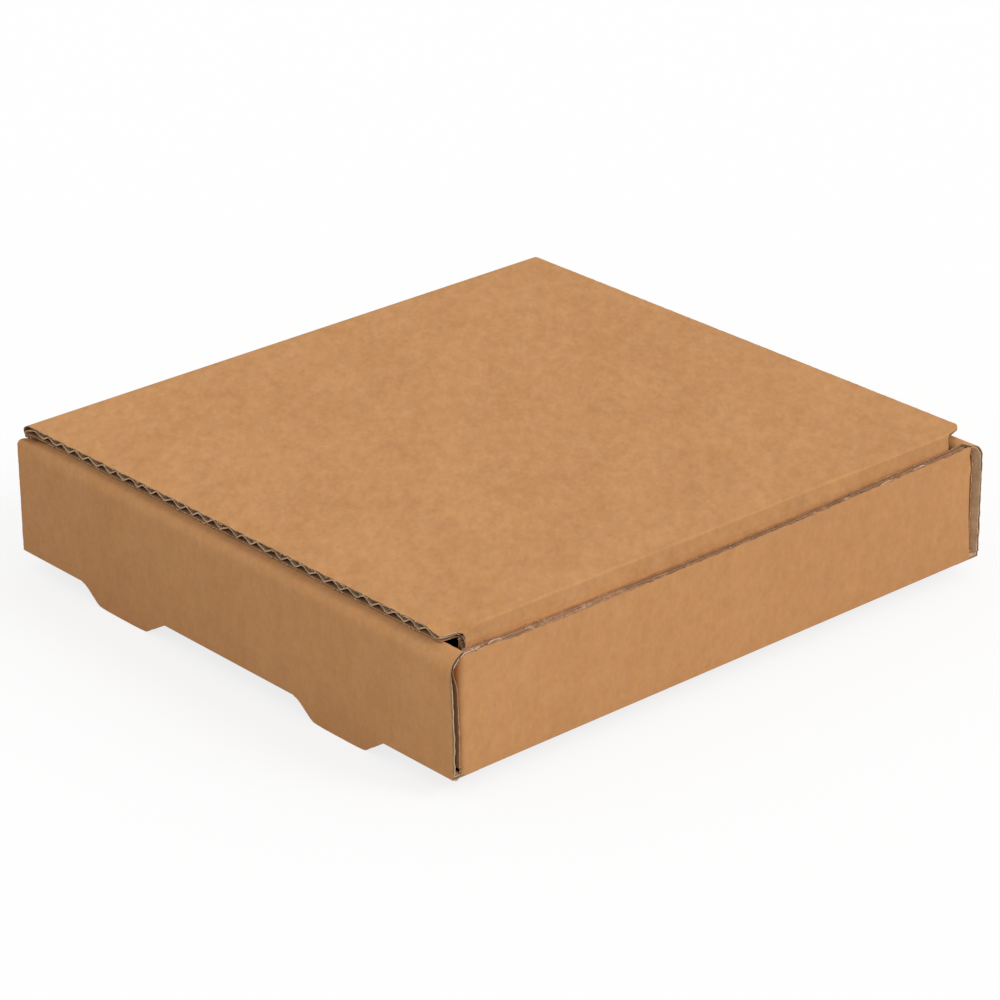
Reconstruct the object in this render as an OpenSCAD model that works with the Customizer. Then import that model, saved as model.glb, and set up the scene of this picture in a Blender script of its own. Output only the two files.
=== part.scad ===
// Literature mailer: a flat square box folded from one die-cut sheet of single-wall
// corrugated board. The base carries the front and back walls, whose ends turn back as
// ears, and two rolled double side walls that trap the ears and lock into slots in the base.
// The flaps cut from those slots stay in the plane of the outer side walls as four feet.
// The lid hangs on the back wall, rests on the rolled side walls and tucks in at the front.
// Flutes run from side to side in the base, front, back and lid, and upright in the sides.
// The origin is under the middle of the box, at the level of the feet; the front faces -Y.

/* [Inside] */
// Clear width between the inner side walls
inner_w = 190; // [150:1:260]
// Clear depth between the front and back walls
inner_d = 190; // [150:1:260]
// Clear height between the base and the closed lid
inner_h = 34.5; // [28:0.5:60]

/* [Board] */
// Thickness of the board
board_t = 2.9; // [2.6:0.1:3.3]
// Thickness of each liner
liner_t = 0.35; // [0.25:0.05:0.5]
// Thickness of the fluted medium
medium_t = 0.3; // [0.2:0.05:0.4]
// Length of one flute
flute_pitch = 6.5; // [5:0.1:8]
// Straight runs that draw one flute
flute_steps = 10; // [8:2:16]
// Gap between boards that lie against each other
lay_gap = 0.15; // [0.1:0.05:0.3]

/* [Folds] */
// Outer radius where the walls turn up from the base
base_fold_r = 1.8; // [1:0.1:2.4]
// Inner radius at the rolled tops of the side walls
roll_inner_r = 0.5; // [0.3:0.1:1]
// Inner radius where the front and back walls turn into their ears
ear_inner_r = 0.4; // [0.2:0.1:1]
// Inner radius where the lid turns down into its tuck flap
lid_inner_r = 0.3; // [0.2:0.1:1]

/* [Walls] */
// How far the ends of the outer side walls lie behind the front and back faces
wall_end_set = 0.8; // [0.4:0.1:2]
// How far the front wall ends below the lid
front_drop = 0.2; // [0.1:0.1:1]
// Length of each ear, from the face of its wall
ear_l = 62; // [40:1:70]
// Slant at the free end of an ear
ear_slant = 7; // [3:1:12]
// How far the free edges are hollow between the liners
edge_hollow = 2.6; // [1:0.1:4]

/* [Feet and lock tabs] */
// Height of the feet below the base
foot_drop = 5.4; // [3:0.1:8]
// Width of a foot where it leaves the base
foot_w = 40.5; // [32:0.5:50]
// Width of a foot at its tip
foot_tip_w = 27; // [20:0.5:30]
// Distance between the middles of the two feet of a side
foot_spacing = 98.6; // [80:0.2:110]
// Rounding at the tip of a foot
foot_tip_r = 2; // [0.5:0.5:2.5]
// Clearance of a lock tab in its slot
tab_clear = 0.5; // [0.3:0.1:1]

/* [Lid] */
// How far the sides of the lid lie inside the side walls
lid_inset = 2.7; // [1:0.1:5]
// Gap between the lid and the walls it rests on
lid_gap = 0.1; // [0.05:0.05:0.3]
// Distance from the front face to the shoulders of the lid
shoulder_y = 9.3; // [8:0.1:14]
// Rounding at the corners of the shoulders
shoulder_r = 2; // [1:0.5:3]
// Depth of the tuck flap below the lid
flap_l = 28; // [15:0.5:30]
// Gap between each end of the tuck flap and the inner side wall
flap_end_gap = 1.3; // [0.8:0.1:3]
// How much each end of the tuck flap draws in toward its free edge
flap_taper = 2; // [0:0.5:6]
// Rounding at the free corners of the tuck flap
flap_r = 9; // [4:0.5:12]
// Clearance of the tuck flap to the top of the front wall as the lid swings
swing_gap = 0.3; // [0.2:0.05:0.6]

/* [Hidden] */
kraft = [0.76, 0.56, 0.38];
kraft_lid = [0.79, 0.59, 0.41];
$fn = 48;
arc_steps = 6;      // straight runs in a rounded corner of an outline
fold_steps = 12;    // straight runs in a fold of the lid
fold_lead = 1;      // flat, solid board of the lid behind its front fold
fuse = 0.05;        // how deep joined pieces of the sheet run into each other
past = 1;           // how far a cut runs past what it cuts

// Three boards and two gaps make a rolled side wall.
stack = 3 * board_t + 2 * lay_gap;
outer_w = inner_w + 2 * stack;
outer_d = inner_d + 2 * board_t;
wall_h = board_t + inner_h;             // underside of the lid above the underside of the base
side_h = wall_h - lid_gap;
front_h = wall_h - front_drop;
roll_r = board_t + roll_inner_r;
ear_r = board_t + ear_inner_r;
lid_r = board_t + lid_inner_r;
ear_u = board_t + lay_gap;              // from the outer side face to the ear
ear_top = side_h - roll_r;
panel_end = ear_u + ear_r;              // from the outer side face to the end of the flat front wall
foot_y = [outer_d / 2 - foot_spacing / 2, outer_d / 2 + foot_spacing / 2];
slot_end = stack + tab_clear;
tab_w = foot_tip_w - 2 * tab_clear;

// The lid turns about the outer skin of the back fold, half way round it.
pivot = [outer_d - board_t * (1 - cos(45)), wall_h + board_t * sin(45)];
sweep_r = norm(pivot - [board_t, front_h]) - swing_gap;
flap_top_y = pivot.x - sqrt(pow(sweep_r, 2) - pow(pivot.y - wall_h, 2));
flap_tip_y = pivot.x - sqrt(pow(sweep_r, 2) - pow(pivot.y - wall_h + flap_l, 2));
flap_lean = atan2(flap_tip_y - flap_top_y, flap_l);
lid_w = outer_w - 2 * lid_inset;
flap_w = inner_w - 2 * flap_end_gap;
crease = [flap_top_y + lid_r, wall_h + board_t - lid_r];   // centre of the lid's front fold

function unit(v) = v / norm(v);

function arc(middle, r, from, to) =
    [for (i = [0 : fold_steps])
        let (a = from + (to - from) * i / fold_steps) middle + r * [cos(a), sin(a)]];

// A corner at p rounded to radius r, on the way from a to b.
function round_corner(a, p, b, r) =
    let (u = unit(a - p), v = unit(b - p), half = acos(u * v) / 2,
         middle = p + unit(u + v) * r / sin(half),
         from = p + u * r / tan(half) - middle, to = p + v * r / tan(half) - middle,
         start = atan2(from.y, from.x),
         turn = (atan2(to.y, to.x) - start + 540) % 360 - 180)
    [for (i = [0 : arc_steps]) let (a = start + turn * i / arc_steps) middle + r * [cos(a), sin(a)]];

// An outline whose points are [x, y, radius]; radius 0 leaves a corner sharp.
function rounded(pts) =
    let (n = len(pts), at = function (i) [pts[i % n].x, pts[i % n].y])
    [for (i = [0 : n - 1]) each pts[i].z > 0
        ? round_corner(at(i + n - 1), at(i), at(i + 1), pts[i].z) : [at(i)]];

// The medium's middle line is a cosine between the liners; its skins lie half its thickness
// away, square to the line. side is 1 for the upper skin and -1 for the lower one.
function flute_skin(length, side) =
    let (swing = (board_t - 2 * liner_t - medium_t) / 2 + fuse,
         steps = ceil(length / flute_pitch * flute_steps))
    [for (i = [0 : steps])
        let (s = length * i / steps, turn = 360 * s / flute_pitch,
             slope = -swing * 2 * PI / flute_pitch * sin(turn))
        [s, board_t / 2 + swing * cos(turn)] + side * medium_t / 2 * unit([-slope, 1])];

module medium(length) {
    lower = flute_skin(length, -1);
    polygon(concat(flute_skin(length, 1), [for (i = [len(lower) - 1 : -1 : 0]) lower[i]]));
}

// The hollows of the board between its liners, seen where it is cut across the flutes.
module board_hollows(length) {
    difference() {
        translate([0, liner_t]) square([length, board_t - 2 * liner_t]);
        translate([-flute_pitch, 0]) medium(length + 2 * flute_pitch);
    }
}

// A quarter turn of the board round a fold, in the first quadrant.
module fold(outer_r) {
    intersection() {
        difference() {
            circle(outer_r);
            circle(outer_r - board_t);
        }
        square(outer_r + past);
    }
}

// Two boards that meet square, with the outer corner rounded; the corner is at the origin.
module turned_up(across, up) {
    difference() {
        union() {
            square([across, board_t]);
            square([board_t, up]);
        }
        difference() {
            translate([-past, -past]) square(base_fold_r + past);
            translate([base_fold_r, base_fold_r]) circle(base_fold_r);
        }
    }
}

// Extrudes a section drawn in Y and Z along X.
module along_x(x0, x1) {
    translate([x0, 0, 0]) rotate([90, 0, 90]) linear_extrude(x1 - x0) children();
}

// Extrudes a section drawn in X and Z along Y.
module along_y(y0, y1) {
    translate([0, y1, 0]) rotate([90, 0, 0]) linear_extrude(y1 - y0) children();
}

module at_left() {
    translate([-outer_w / 2, -outer_d / 2, 0]) children();
}

module both_sides() {
    at_left() children();
    mirror([1, 0, 0]) at_left() children();
}

module both_ends() {
    children();
    translate([0, outer_d, 0]) mirror([0, 1, 0]) children();
}

// Base with the front and back walls turned up from it, between the ears' folds.
module base_and_walls() {
    half = outer_w / 2 - panel_end;
    translate([0, -outer_d / 2, 0]) {
        along_x(-half, half) {
            turned_up(outer_d / 2 + fuse, front_h);
            translate([outer_d, 0]) mirror([1, 0]) turned_up(outer_d / 2 + fuse, wall_h);
        }
        along_x(-half, half) back_fold();
    }
}

// The back wall's half of the lid's fold, cut off on the plane through the pivot.
module back_fold() {
    translate([outer_d - board_t, wall_h]) intersection() {
        circle(board_t);
        polygon([[lid_gap, -fuse], [board_t + past, -fuse],
                 [board_t + past, board_t + past - lid_gap], [lid_gap, 0]]);
    }
    translate([outer_d - board_t, wall_h - past]) square([board_t, past]);
}

// Side wall: up from the base, over the ears and down again inside.
module side_wall() {
    along_y(wall_end_set, outer_d - wall_end_set) turned_up(panel_end + fuse, side_h - roll_r + fuse);
    along_y(wall_end_set, outer_d - wall_end_set) {
        translate([roll_r, side_h - roll_r]) mirror([1, 0]) fold(roll_r);
        translate([roll_r - fuse, side_h - board_t])
            square([panel_end - lay_gap - roll_r + fuse, board_t]);
    }
    along_y(board_t + lay_gap, outer_d - board_t - lay_gap) {
        translate([roll_r, side_h - board_t]) square([stack - 2 * roll_r, board_t]);
        translate([stack - roll_r, side_h - roll_r]) fold(roll_r);
        translate([stack - board_t, ear_u]) square([board_t, side_h - roll_r - ear_u + fuse]);
    }
}

// Ear: the front wall's end turned back between the two boards of the side wall.
module ear() {
    translate([ear_u + ear_r, ear_r, base_fold_r / 2])
        linear_extrude(ear_top - base_fold_r / 2) rotate(180) fold(ear_r);
    along_x(ear_u, ear_u + board_t) polygon(rounded([
        [ear_r - fuse, ear_u, 0],
        [ear_l - ear_slant, ear_u, ear_slant / 3],
        [ear_l, (ear_u + ear_top) / 2, ear_slant / 3],
        [ear_l - ear_slant, ear_top, ear_slant / 3],
        [ear_r - fuse, ear_top, 0]]));
}

// Foot: the flap cut from the slot, in one plane with the outer side wall.
module foot() {
    along_x(0, board_t) polygon(rounded([
        [-foot_w / 2, board_t, 0], [-foot_w / 2, 0, 0],
        [-foot_tip_w / 2, -foot_drop, foot_tip_r], [foot_tip_w / 2, -foot_drop, foot_tip_r],
        [foot_w / 2, 0, 0], [foot_w / 2, board_t, 0]]));
}

module foot_hollows() {
    translate([board_t, 0, -foot_drop - past]) rotate(90)
        linear_extrude(past + edge_hollow) translate([-foot_tip_w / 2 + foot_tip_r, 0])
            board_hollows(foot_tip_w - 2 * foot_tip_r);
}

// Slot in the base: as wide as the foot at the fold, then as wide as the foot's tip.
module slot() {
    reach = board_t / 2 + foot_drop;
    translate([0, 0, -past]) linear_extrude(past + board_t + lay_gap / 2) polygon([
        [board_t, -foot_w / 2], [board_t + fuse, -foot_w / 2],
        [min(reach, slot_end - fuse), -foot_tip_w / 2], [slot_end, -foot_tip_w / 2],
        [slot_end, foot_tip_w / 2], [min(reach, slot_end - fuse), foot_tip_w / 2],
        [board_t + fuse, foot_w / 2], [board_t, foot_w / 2]]);
}

// Lock tab: the inner side wall's tongue, down through the slot to the underside of the base.
module lock_tab() {
    along_x(stack - board_t, stack) polygon(rounded([
        [-tab_w / 2, ear_u + fuse, 0], [-tab_w / 2, 0, board_t / 3],
        [tab_w / 2, 0, board_t / 3], [tab_w / 2, ear_u + fuse, 0]]));
}

// The hollow that a cut along the flutes opens between the liners, with the medium standing
// in it; the section's first axis runs into the board.
module cut_flute() {
    translate([-fuse, 0]) intersection() {
        square([edge_hollow + fuse, board_t]);
        difference() {
            translate([0, liner_t]) square([edge_hollow + fuse, board_t - 2 * liner_t]);
            translate([-flute_pitch / 4, 0]) medium(flute_pitch + edge_hollow);
        }
    }
}

// Hollows in the raw ends of the outer side wall, between the base fold and the roll.
module side_end_hollows() {
    both_ends() translate([board_t, wall_end_set, board_t])
        linear_extrude(side_h - roll_r - board_t) rotate(90) cut_flute();
}

module ear_top_hollow() {
    along_y(ear_r, ear_l - 2 * ear_slant)
        translate([ear_u + board_t, ear_top]) rotate(-90) mirror([0, 1]) cut_flute();
}

module front_top_hollow() {
    half = outer_w / 2 - panel_end - board_t;
    translate([0, -outer_d / 2, 0]) along_x(-half, half)
        translate([0, front_h]) rotate(-90) cut_flute();
}

module tray() {
    color(kraft) translate([0, 0, foot_drop]) {
        difference() {
            union() {
                base_and_walls();
                both_sides() {
                    side_wall();
                    both_ends() ear();
                }
            }
            both_sides() {
                for (y = foot_y) translate([0, y, 0]) slot();
                side_end_hollows();
                both_ends() ear_top_hollow();
            }
            front_top_hollow();
        }
        both_sides() for (y = foot_y) translate([0, y, 0]) {
            difference() {
                foot();
                foot_hollows();
            }
            lock_tab();
        }
    }
}

// Lid in Y and Z: its half of the back fold, cut off on the plane through the pivot, the panel,
// the front fold and the tuck flap. The front fold turns a little past square, so that the flap
// swings clear of the front wall. Between the folds the board is hollow between its liners.
module lid_profile() {
    back = [outer_d - board_t, wall_h];
    turned = 180 + flap_lean;
    down = (flap_l + past) * [sin(flap_lean), -cos(flap_lean)];
    hinge = arc(back, board_t, 45 + asin(lid_gap / board_t / sqrt(2)), 90);
    outer = arc(crease, lid_r, 90, turned);
    inner = arc(crease, lid_inner_r, turned, 90);
    difference() {
        polygon(concat([back, back + [0, lid_gap]], hinge, outer,
                       [outer[fold_steps] + down, inner[0] + down], inner));
        translate([crease.x + fold_lead, wall_h])
            board_hollows(back.x - board_t - crease.x - fold_lead);
        translate(crease) rotate(flap_lean - 90) translate([0, -lid_r])
            board_hollows(flap_l + 2 * past);
    }
}

// Outline of the lid from above: full width behind the shoulders, flap width in front of them.
module lid_outline() {
    front = flap_top_y - past;
    polygon(rounded([
        [-flap_w / 2, front, 0], [flap_w / 2, front, 0],
        [flap_w / 2, shoulder_y, shoulder_r / 2], [lid_w / 2, shoulder_y, shoulder_r],
        [lid_w / 2, outer_d + past, 0], [-lid_w / 2, outer_d + past, 0],
        [-lid_w / 2, shoulder_y, shoulder_r], [-flap_w / 2, shoulder_y, shoulder_r / 2]]));
}

// What is cut off round the tuck flap, in X and along the flap: its slanted ends and free edge.
module flap_cut() {
    rise = lid_r + past;
    top = flap_w / 2 + flap_taper * rise / flap_l;
    free = flap_w / 2 - flap_taper;
    side = flap_w / 2 + flap_taper + past;
    polygon(rounded([
        [top, -rise, 0], [free, flap_l, flap_r], [-free, flap_l, flap_r], [-top, -rise, 0],
        [-side, -rise, 0], [-side, flap_l + 2 * past, 0],
        [side, flap_l + 2 * past, 0], [side, -rise, 0]]));
}

module lid() {
    color(kraft_lid) translate([0, -outer_d / 2, foot_drop]) difference() {
        intersection() {
            along_x(-lid_w / 2 - past, lid_w / 2 + past) lid_profile();
            translate([0, 0, wall_h - flap_l - 2 * past])
                linear_extrude(flap_l + board_t + 3 * past) lid_outline();
        }
        translate([0, crease.x, crease.y]) rotate([-90 + flap_lean, 0, 0])
            translate([0, 0, -lid_r - past]) linear_extrude(lid_r + past) flap_cut();
    }
}

tray();
lid();
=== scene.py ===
from math import radians

import bpy
import numpy as np
from mathutils import Matrix, Vector


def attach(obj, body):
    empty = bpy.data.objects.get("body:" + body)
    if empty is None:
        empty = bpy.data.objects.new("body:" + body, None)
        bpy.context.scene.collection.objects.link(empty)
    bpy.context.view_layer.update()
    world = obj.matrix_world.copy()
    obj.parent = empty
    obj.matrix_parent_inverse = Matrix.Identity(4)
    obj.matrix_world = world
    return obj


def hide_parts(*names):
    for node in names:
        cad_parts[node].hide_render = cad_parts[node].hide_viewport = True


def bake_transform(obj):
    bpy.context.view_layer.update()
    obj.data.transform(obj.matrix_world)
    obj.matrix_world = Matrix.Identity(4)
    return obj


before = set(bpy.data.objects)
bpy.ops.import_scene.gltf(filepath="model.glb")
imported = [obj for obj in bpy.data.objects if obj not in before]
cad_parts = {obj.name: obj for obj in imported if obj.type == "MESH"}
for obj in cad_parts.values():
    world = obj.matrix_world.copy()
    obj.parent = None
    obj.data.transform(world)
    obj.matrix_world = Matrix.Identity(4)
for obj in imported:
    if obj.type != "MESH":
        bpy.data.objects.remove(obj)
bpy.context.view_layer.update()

# The box is worked out in millimetres from the lower front left corner of its outside: x along
# the front wall, y towards the back, z up. CORNER puts that corner in the model's frame.
CORNER = np.array([-103.8, -97.9, 5.4])
MM = 0.001
WIDTH, DEPTH = 207.6, 195.8
BOARD = 2.9               # thickness of the board
LINER = 0.33              # thickness of a liner
MEDIUM = 0.30             # thickness of the fluted medium
FLUTE = 6.55              # length of one flute
SHARP = 0.15              # smallest radius inside a fold
WALL_TOP = 37.3           # top of the rolled side walls
LID_UNDER = 37.45         # underside of the lid
LID_TOP = LID_UNDER + BOARD
STACK = 9.1               # thickness of a rolled side wall
FOLD_TOP = 1.8            # height at which the walls start over the folds of the base
BASE_FOLD = 0.3           # outer radius of the folds of the base

# Places of the papers in the list of materials that every piece has.
KRAFT, INSIDE, CUT_LINER, CUT_MEDIUM, RUBBED, FIBRE, MEDIUM_PAPER = range(7)


def wobble(x, seed, pitch):
    """Smooth random line from -1 to 1: seeded values one pitch apart, eased into each other."""
    values = np.random.default_rng(seed).uniform(-1, 1, 2048)
    place = np.asarray(x, float) / pitch
    cell = np.floor(place).astype(int)
    part = place - cell
    part = part * part * (3 - 2 * part)
    return values[cell % 2048] * (1 - part) + values[(cell + 1) % 2048] * part


def torn(x, seed, depth):
    """Torn edge: a coarse and a fine random line, together about depth either way."""
    return depth * (0.6 * wobble(x, seed, 1.7) + 0.5 * wobble(x, seed + 1, 0.55))


def ease(x, low, high):
    """0 below low, 1 above high, and a smooth step between them."""
    t = np.clip((x - low) / (high - low), 0, 1)
    return t * t * (3 - 2 * t)


def hump(x, middle, width):
    """Bell of height 1 round middle, and about 0.37 at width from it."""
    return np.exp(-((x - middle) / width) ** 2)


def fluted(length, phase=0.0):
    """Flute as a nearly triangular wave from -1 to 1 of the length along the board."""
    turn = 2 * np.pi * (length / FLUTE) + phase
    return np.arcsin(0.97 * np.sin(turn)) / np.arcsin(0.97)


def fold_path(corners, radii, counts, turns, depth, gather=0.0):
    """Path of straight runs with rounded corners, sunk by depth below its outer skin.

    The outside lies on the right of the way along, and the corners turn left. At depth d each
    run moves d inward and each corner is an arc of radius max(radius - d, SHARP), so that the
    sheets of one board stay nested round a fold. depth is (rows, columns). gather is the share
    of a smooth step in the rows of a run, which draws them together at its two ends."""
    corners = np.asarray(corners, float)
    ways = np.diff(corners, axis=0)
    ways /= np.linalg.norm(ways, axis=1, keepdims=True)
    outs = np.stack([ways[:, 1], -ways[:, 0]], 1)
    last = len(ways) - 1

    def bend(k, rows):
        cosine = outs[k - 1] @ outs[k]
        d = depth[rows][..., None]
        middle = corners[k] - d * (outs[k - 1] + outs[k]) / (1 + cosine)
        radius = np.broadcast_to(radii[k - 1], depth.shape)[rows][..., None]
        radius = np.maximum(radius - d, SHARP)
        return middle, radius, radius * np.sqrt((1 - cosine) / (1 + cosine)), np.arccos(cosine)

    blocks, row = [], 0
    for i in range(last + 1):
        rows = slice(row, row + counts[i])
        start = corners[0] - depth[rows][..., None] * outs[0]
        stop = corners[-1] - depth[rows][..., None] * outs[-1]
        if i > 0:
            middle, radius, reach, turn = bend(i, rows)
            start = middle + ways[i] * reach
        if i < last:
            middle, radius, reach, turn = bend(i + 1, rows)
            stop = middle - ways[i] * reach
        t = np.linspace(0, 1, counts[i])[:, None, None]
        t = (1 - gather) * t + gather * t * t * (3 - 2 * t)
        blocks.append(start + (stop - start) * t)
        row += counts[i]
        if i < last:
            middle, radius, reach, turn = bend(i + 1, slice(row, row + turns))
            angle = turn * (np.arange(1, turns + 1) / (turns + 1))[:, None]
            out = outs[i]
            normal = np.stack([out[0] * np.cos(angle) - out[1] * np.sin(angle),
                               out[0] * np.sin(angle) + out[1] * np.cos(angle)], -1)
            blocks.append(middle - ways[i] * reach - out * radius + radius * normal)
            row += turns
    return np.concatenate(blocks)


def across_sheet(start, stop, fine, middle):
    """Places across a sheet, (rows, columns): close together at both edges, even between."""
    start, stop, fine = start[:, None], stop[:, None], np.asarray(fine)
    near, far = start + fine, stop - fine[::-1]
    t = np.linspace(0, 1, middle + 2)[1:-1]
    return np.concatenate([near, near[:, -1:] + (far[:, :1] - near[:, -1:]) * t, far], 1)


FINE = [0, 0.12, 0.3, 0.6, 1.1, 1.8, 2.8, 4.2, 6, 8.5, 12]
AXES = {"yz": (1, 2, 0), "xz": (0, 2, 1), "xy": (0, 1, 2)}


class Board:
    """A stretch of board: a folded path in one plane, carried along the third axis.

    start and stop give the board's two edges along that axis, as functions of the path's
    points (rows, 2). squeeze, a function of the points in space, thins the board, and tone,
    another, says how much lighter or darker its outer face is painted, mostly as painted light
    and shade."""

    def __init__(self, plane, corners, radii, spacing, start, stop, fine=FINE, middle=20,
                 turns=10, squeeze=None, warp=None, tone=None, across=None, mirror=False,
                 gather=0.0):
        self.plane, self.corners, self.turns = plane, corners, turns
        self.warp, self.mirror, self.gather = warp, mirror, gather
        runs = np.linalg.norm(np.diff(np.asarray(corners, float), axis=0), axis=1)
        self.counts = [max(2, int(np.ceil(run / spacing))) for run in runs]
        self.rows = sum(self.counts) + turns * (len(runs) - 1)
        plain = [r(DEPTH / 2) if callable(r) else r for r in radii]
        skin = fold_path(corners, plain, self.counts, turns, np.zeros((self.rows, 1)), gather)
        self.skin = skin[:, 0]
        if across is None:
            across = across_sheet(start(self.skin), stop(self.skin), fine, middle)
        self.across = np.broadcast_to(across, (self.rows, np.shape(across)[-1]))
        self.radii = [r(self.across) if callable(r) else r for r in radii]
        points = self.place(np.zeros(self.across.shape))
        self.thin = 1.0 if squeeze is None else squeeze(points)
        self.tone = 0.0 if tone is None else tone(points)

    def place(self, depth):
        """Points of the flat-sided board at that depth, before it is pressed out of shape."""
        path = fold_path(self.corners, self.radii, self.counts, self.turns, depth, self.gather)
        points = np.empty(self.across.shape + (3,))
        first, second, third = AXES[self.plane]
        points[..., first], points[..., second] = path[..., 0], path[..., 1]
        points[..., third] = self.across
        return points

    def at(self, depth):
        """Points at that depth below the outer skin, (rows, columns, 3)."""
        points = self.place(np.broadcast_to(depth, self.across.shape) * self.thin)
        if self.warp is not None:
            points = self.warp(points)
        if self.mirror:
            points[..., 0] = WIDTH - points[..., 0]
        return points

    def along(self):
        """Length along the skin at each row, (rows, 1)."""
        steps = np.linalg.norm(np.diff(self.skin, axis=0), axis=1)
        return np.concatenate([[0], np.cumsum(steps)])[:, None]

    def outer_liner(self, cut=CUT_LINER):
        """Sheet of the outer skin: kraft outside, paper inside, cut round its rim."""
        return slab(self.at(0), self.at(LINER), (KRAFT, INSIDE, cut), self.tone)

    def inner_liner(self, cut=CUT_LINER):
        """Sheet of the inner skin: kraft on the side away from the flutes."""
        return slab(self.at(BOARD - LINER), self.at(BOARD), (INSIDE, KRAFT, cut))

    def medium(self, wave, cut=CUT_MEDIUM, thick=MEDIUM):
        """Fluted medium: its middle swings between the liners as wave does, from -1 to 1."""
        middle = BOARD / 2 + (BOARD / 2 - LINER - thick / 2) * wave
        return slab(self.at(middle - thick / 2), self.at(middle + thick / 2),
                    (MEDIUM_PAPER, MEDIUM_PAPER, cut))


def slab(top, under, finish, tone=0.0):
    """Closed sheet between two grids of points: both faces and the rim round them.

    finish gives the material numbers of the top, the underside and the rim, and tone the
    painted lightness of the top, which stands mostly for painted light and shade."""
    rows, columns = top.shape[:2]
    points = np.concatenate([top.reshape(-1, 3), under.reshape(-1, 3)])
    tones = np.zeros(len(points))
    tones[:rows * columns] = np.broadcast_to(tone, (rows, columns)).ravel()
    index = np.arange(rows * columns).reshape(rows, columns)
    face = np.stack([index[:-1, :-1], index[1:, :-1], index[1:, 1:], index[:-1, 1:]], -1)
    face = face.reshape(-1, 4)
    ring = np.concatenate([index[:-1, 0], index[-1, :-1], index[:0:-1, -1], index[0, :0:-1]])
    after = np.roll(ring, -1)
    low = rows * columns
    rim = np.stack([ring, ring + low, after + low, after], -1)
    faces = np.concatenate([face, face[:, ::-1] + low, rim])
    kinds = np.repeat(finish, [len(face), len(face), len(rim)])
    corner = points[faces]
    volume = np.einsum("ij,ij->", corner[:, 0], np.cross(corner[:, 1], corner[:, 2]))
    volume += np.einsum("ij,ij->", corner[:, 0], np.cross(corner[:, 2], corner[:, 3]))
    if volume < 0:
        faces = faces[:, ::-1]
    return points, faces, kinds, tones


def shred(path, across, thick, seed, finish):
    """Torn strip of fibre along a path of points: a narrow closed sheet whose width, across
    either way, swells and shrinks at random and tapers at both ends, and whose two sides
    curl down."""
    path, across = np.asarray(path, float), np.asarray(across, float)
    t = np.linspace(0, len(path) - 1, 7 * len(path))
    middle = np.stack([np.interp(t, np.arange(len(path)), path[:, k]) for k in range(3)], -1)
    share = np.sin(np.pi * t / t[-1]) ** 0.5
    half = share * (0.62 + 0.38 * wobble(t * 3, seed, 1.0))
    way = path[-1] - path[0]
    normal = np.cross(way, across)
    normal *= thick / np.linalg.norm(normal)
    side = np.linspace(-1, 1, 4)[None, :, None]
    jitter = wobble(t * 5, seed + 1, 1.0)[:, None] * normal * 0.8
    grid = (middle + jitter)[:, None] + side * half[:, None, None] * across
    grid = grid - normal * side ** 2 * (0.6 + 0.6 * wobble(t * 2, seed + 2, 1.0)[:, None, None])
    return slab(grid, grid - normal, (finish, finish, finish))


def piece(name, slabs, body, materials, blend=None):
    """One object from closed sheets, in its place in the model's frame.

    Without blend it rides on its body. With blend, body is a pair of bodies: the object is
    baked in place, rides on neither and hides the second's part. blend holds the start and the
    end of the stretch where the fold bends; these points are not used."""
    points, faces, kinds, tones, count = [], [], [], [], 0
    for some_points, some_faces, some_kinds, some_tones in slabs:
        points.append(some_points)
        faces.append(some_faces + count)
        kinds.append(some_kinds)
        tones.append(some_tones)
        count += len(some_points)
    points = (np.concatenate(points) + CORNER) * MM
    faces, kinds = np.concatenate(faces), np.concatenate(kinds)
    mesh = bpy.data.meshes.new(name)
    mesh.vertices.add(len(points))
    mesh.vertices.foreach_set("co", points.ravel())
    mesh.loops.add(faces.size)
    mesh.loops.foreach_set("vertex_index", faces.ravel().astype(np.int32))
    mesh.polygons.add(len(faces))
    mesh.polygons.foreach_set("loop_start", np.arange(0, faces.size, 4, dtype=np.int32))
    mesh.update(calc_edges=True)
    for material in materials:
        mesh.materials.append(material)
    mesh.polygons.foreach_set("material_index", kinds.astype(np.int32))
    mesh.polygons.foreach_set("use_smooth", np.ones(len(faces), bool))
    tone = mesh.attributes.new("tone", "FLOAT", "POINT")
    tone.data.foreach_set("value", np.concatenate(tones).astype(np.float32))
    mesh.set_sharp_from_angle(angle=radians(38))
    mesh.validate()
    obj = bpy.data.objects.new(name, mesh)
    bpy.context.scene.collection.objects.link(obj)
    if blend is None:
        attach(obj, body)
    else:
        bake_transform(obj)
    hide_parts(body if blend is None else body[1])


class Value:
    """A socket of a node tree that can be used in sums and products."""

    def __init__(self, paint, socket):
        self.paint, self.socket = paint, socket

    def math(self, operation, *others, **settings):
        """Result of a Math node with this value as its first one."""
        return self.paint.node("ShaderNodeMath", {"operation": operation, **settings},
                               self, *others)

    def __add__(self, other):
        return self.math("ADD", other)

    def __radd__(self, other):
        return self.math("ADD", other)

    def __sub__(self, other):
        return self.math("SUBTRACT", other)

    def __rsub__(self, other):
        return (self * -1).math("ADD", other)

    def __mul__(self, other):
        return self.math("MULTIPLY", other)

    def __rmul__(self, other):
        return self.math("MULTIPLY", other)

    def clamp(self):
        """This value, kept between 0 and 1."""
        return self.math("ADD", 0.0, use_clamp=True)


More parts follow.
